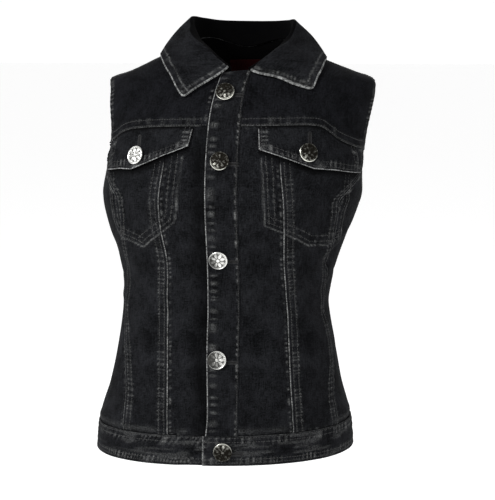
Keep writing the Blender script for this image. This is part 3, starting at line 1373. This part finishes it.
def rosette(r, turn):
    """Relief of the button's face, from 0 in the hollows to 1 on the crests, at a distance and an angle."""
    part = (turn / (2 * math.pi) * PETALS) % 1 - 0.5
    reach = np.clip((r - PETAL_START) / PETAL_REACH, 0, 1)
    wide = 0.44 * np.sin(math.pi * reach ** 0.8) ** 0.6 + 1e-3
    petal = np.clip(1 - (part / wide) ** 2, 0, 1) ** 0.6 * (1 - 0.45 * bell(part, 0, 0.05))
    petal = petal * (reach > 0) * (reach < 1) * (0.72 + 0.28 * np.cos(turn * 3 + 0.8))
    boss = np.clip(1 - (r / BOSS) ** 2, 0, 1) ** 0.5
    bead = (turn / (2 * math.pi) * BEADS) % 1 - 0.5
    pearl = np.clip(1 - (bead / BEAD_SIZE) ** 2 - ((r - BEAD_RING) / BEAD_SIZE) ** 2, 0, 1) ** 0.5 * 0.7
    return np.clip(np.maximum.reduce([petal * 0.85, boss, pearl, bell(r, RIM, 0.45)]), 0, 1)


def button_mesh(name, lit_from, lit):
    """A domed metal cap on a neck, its face raised into a rosette and rubbed bright on one side."""
    radius, height = BUTTON["radius"], BUTTON["height"]
    under = BUTTON["neck_height"] + 0.5
    profile = [(BUTTON["neck"], 0), (BUTTON["neck"], BUTTON["neck_height"]), (radius - 1.2, under),
               (radius - 0.35, under + 0.3), (radius, under + 0.9), (radius - 0.1, height - 0.9),
               (radius - 0.4, height - 0.5)]
    profile += [(r, height - 0.55 + 0.6 * (1 - (r / radius) ** 2)) for r in np.linspace(radius - 0.6, 0.15, 34)]
    bm = bmesh.new()
    verts = [bm.verts.new((r, 0, z)) for r, z in profile]
    for first, second in zip(verts, verts[1:]):
        bm.edges.new((first, second))
    bmesh.ops.spin(bm, geom=bm.verts[:] + bm.edges[:], cent=(0, 0, 0), axis=(0, 0, 1), angle=2 * math.pi,
                   steps=112, use_merge=True)
    bmesh.ops.remove_doubles(bm, verts=bm.verts[:], dist=1e-4)
    holes = [edge for edge in bm.edges if edge.is_boundary]
    bmesh.ops.holes_fill(bm, edges=holes, sides=0)
    raised = bm.verts.layers.float.new("relief")
    for vert in bm.verts:
        r = math.hypot(vert.co.x, vert.co.y)
        turn = math.atan2(vert.co.y, vert.co.x)
        toward = 0.5 + 0.5 * math.cos(turn - lit_from)
        if vert.co.z > under + 0.5 and r < radius - 0.5:
            crest = float(rosette(r, turn))
            vert.co.z += 0.75 * crest - 0.45
            bright = float(smooth(0.75 - lit, 1.75 - lit, mix(0.5, toward, min(1.0, r / 9))))
            vert[raised] = bright * (0.25 + 0.9 * crest) + 0.2 * crest
        else:
            vert[raised] = 0.12 + 0.9 * float(smooth(0.65 - lit, 1.0 - lit, toward))
    bmesh.ops.recalc_face_normals(bm, faces=bm.faces[:])
    bmesh.ops.scale(bm, vec=(MM, MM, MM), verts=bm.verts[:])
    for face in bm.faces:
        face.smooth = True
    return mesh_of(name, bm)


# The side each button is bright on, in degrees from the viewer's right, and how much of it is bright
RUBBED = {"button_1": (-75, 0.36), "button_2": (-130, 0.26), "button_3": (15, 0.95), "button_4": (5, 0.7),
          "button_5": (95, 0.3), "flap_button_right": (60, 1.6), "flap_button_left": (-125, 0.26)}


def buttons():
    """The metal buttons, each turned a little further than the one before, and their buttonholes."""
    placed = [(f"button_{k + 1}", x, z, "placket") for k, (x, z) in enumerate(FRONT_BUTTONS)]
    placed.append(("button_5", *BAND_BUTTON, "waistband"))
    placed += [(f"flap_button_{side}", *FLAP_BUTTONS[side], f"pocket_flap_{side}") for side in SIDES]
    for k, (name, x, z, under) in enumerate(placed):
        p = on_face(x, z, -1)
        hit, _ = ground_of(under)(p)
        normal = normal_at(p)
        spun = 0.5 + 1.3 * k
        lit_from, lit = RUBBED[name]
        mesh = button_mesh(name, math.radians(lit_from) - spun, lit)
        turn = Matrix.Rotation(spun, 4, "Z")
        stand = Vector(normal).to_track_quat("Z", "Y").to_matrix().to_4x4()
        mesh.transform(Matrix.Translation(Vector((hit[0] + normal * 0.3) * MM)) @ stand @ turn)
        made = link(f"{name}_metal", mesh, SILVER if lit > 0.5 else ANTIQUE)
        ride(made, "button_metal", (name,))
        flap = name.startswith("flap")
        hole_centre = (x + 2.0, z + 12.5) if flap else (x + 11.5, z - 2.6)
        buttonhole(f"{name}_hole", hole_centre, not flap, under)


pocket_stitching()
buttons()


# What each sheet was cut to, and what goes with it
for name, laid in LAID.items():
    width, length = laid["flat"]
    on = [f"{other}_cloth" for other in laid["rests_on"]]
    min(laid["area"], width * length)
    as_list(laid["threads"])


# Floor and light


def floor():
    bm = bmesh.new()
    bmesh.ops.create_grid(bm, x_segments=1, y_segments=1, size=30)
    bmesh.ops.translate(bm, vec=(0, 0, -0.75), verts=bm.verts[:])
    finish = Finish("pale_floor", Roughness=0.9, Specular_IOR_Level=0.1)
    finish.shader.inputs["Base Color"].default_value = (0.93, 0.93, 0.93, 1)
    finish.shader.inputs["Emission Color"].default_value = (1, 1, 1, 1)
    finish.shader.inputs["Emission Strength"].default_value = 0.3
    piece = link("floor", mesh_of("floor", bm), finish.material)


def lamp(name, place, size, power, target=Vector((0, 0, -0.2))):
    data = bpy.data.lights.new(name, "AREA")
    data.shape = "DISK"
    data.size = size
    data.energy = power
    made = bpy.data.objects.new(name, data)
    made.location = place
    made.rotation_euler = (target - Vector(place)).to_track_quat("-Z", "Y").to_euler()
    bpy.context.scene.collection.objects.link(made)


def studio():
    """A white room, brighter behind the vest than in front of it."""
    world = bpy.data.worlds.new("studio")
    world.use_nodes = True
    sky = world.node_tree.nodes
    direction = sky.new("ShaderNodeTexCoord")
    parts = sky.new("ShaderNodeSeparateXYZ")
    strength = sky.new("ShaderNodeMapRange")
    for socket, value in (("From Min", -0.5), ("From Max", 0.55), ("To Min", 0.42), ("To Max", 1.02)):
        strength.inputs[socket].default_value = value
    wires = world.node_tree.links
    wires.new(direction.outputs["Generated"], parts.inputs[0])
    wires.new(parts.outputs["Y"], strength.inputs["Value"])
    wires.new(strength.outputs["Result"], sky["Background"].inputs["Strength"])
    sky["Background"].inputs["Color"].default_value = (1, 1, 1, 1)
    bpy.context.scene.world = world
    bpy.context.scene.view_settings.view_transform = "Standard"


floor()
studio()
lamp("key", (-1.5, -1.7, 1.3), 0.7, 68)
lamp("fill", (1.7, -1.6, 0.4), 1.4, 12)
